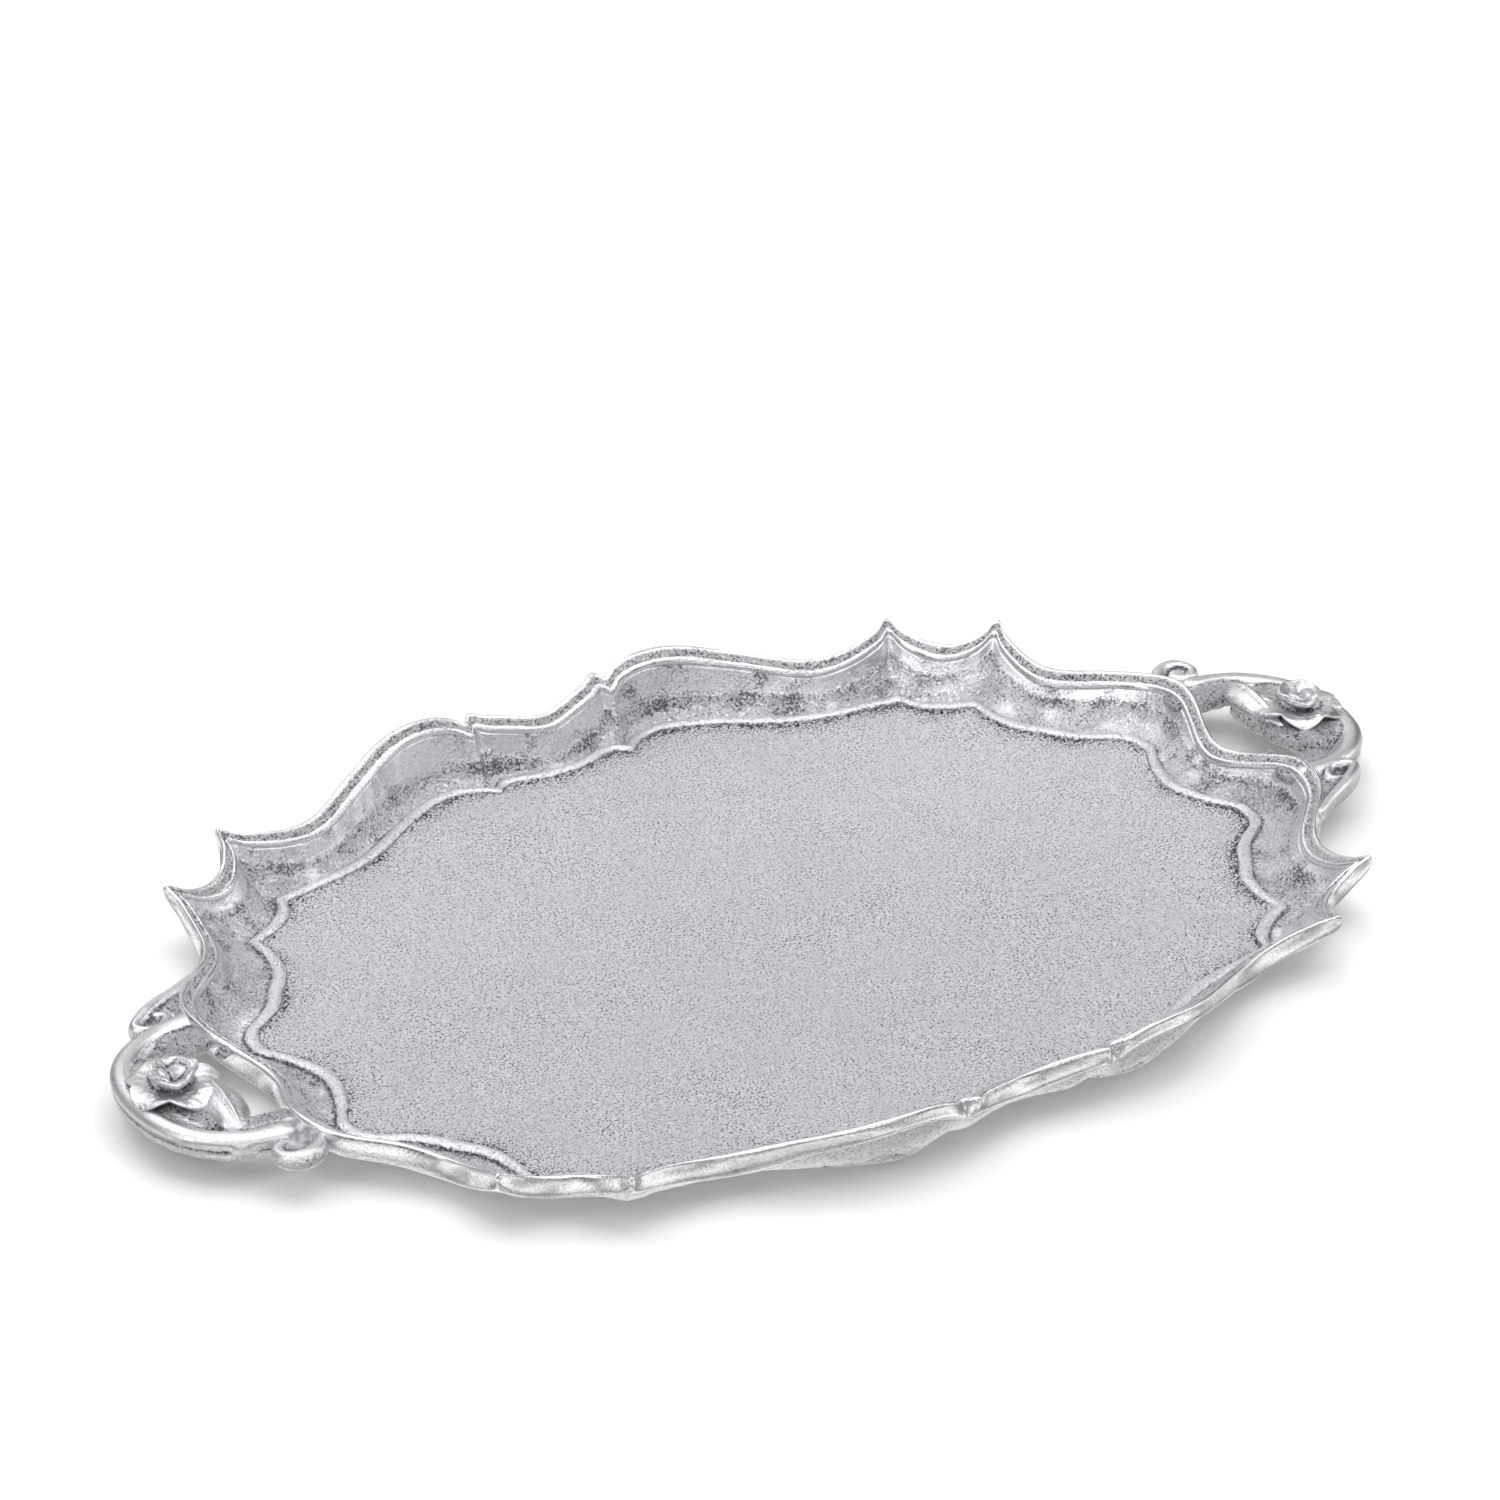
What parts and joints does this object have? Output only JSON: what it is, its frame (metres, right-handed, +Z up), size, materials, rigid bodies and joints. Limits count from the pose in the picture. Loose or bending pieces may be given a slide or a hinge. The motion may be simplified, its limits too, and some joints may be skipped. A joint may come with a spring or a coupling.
{
  "type": "oval serving tray with scroll handles",
  "caption": "Shallow oval cast-metal serving tray with a scalloped wavy rim, a beaded hollow border and scroll handles carrying a rose and a leaf.",
  "frame": {"origin": "centre of the flat underside on which the tray rests", "axes": "+X along the tray to the right handle, +Y across it to the back long side, +Z up"},
  "size_m": [0.5668, 0.3576, 0.0313],
  "materials": {
    "floor_metal": "matt sand-cast aluminium with a fine grain and scattered pores",
    "border_metal": "coarse cast aluminium, lightly buffed, with a polished bead",
    "rim_metal": "polished aluminium with a grained groove",
    "handle_metal": "cast aluminium, buffed on its high places and rough in its hollows",
    "ornament_metal": "cast aluminium ornament, buffed petals with dark recesses"
  },
  "bodies": {
    "root": {"floor_plate": "floor_metal", "border": "border_metal", "rim_moulding": "rim_metal", "handle_right": "handle_metal", "handle_left": "handle_metal", "rose_right": "ornament_metal", "rose_left": "ornament_metal", "leaf_right": "ornament_metal", "leaf_left": "ornament_metal"}
  },
  "joints": []
}
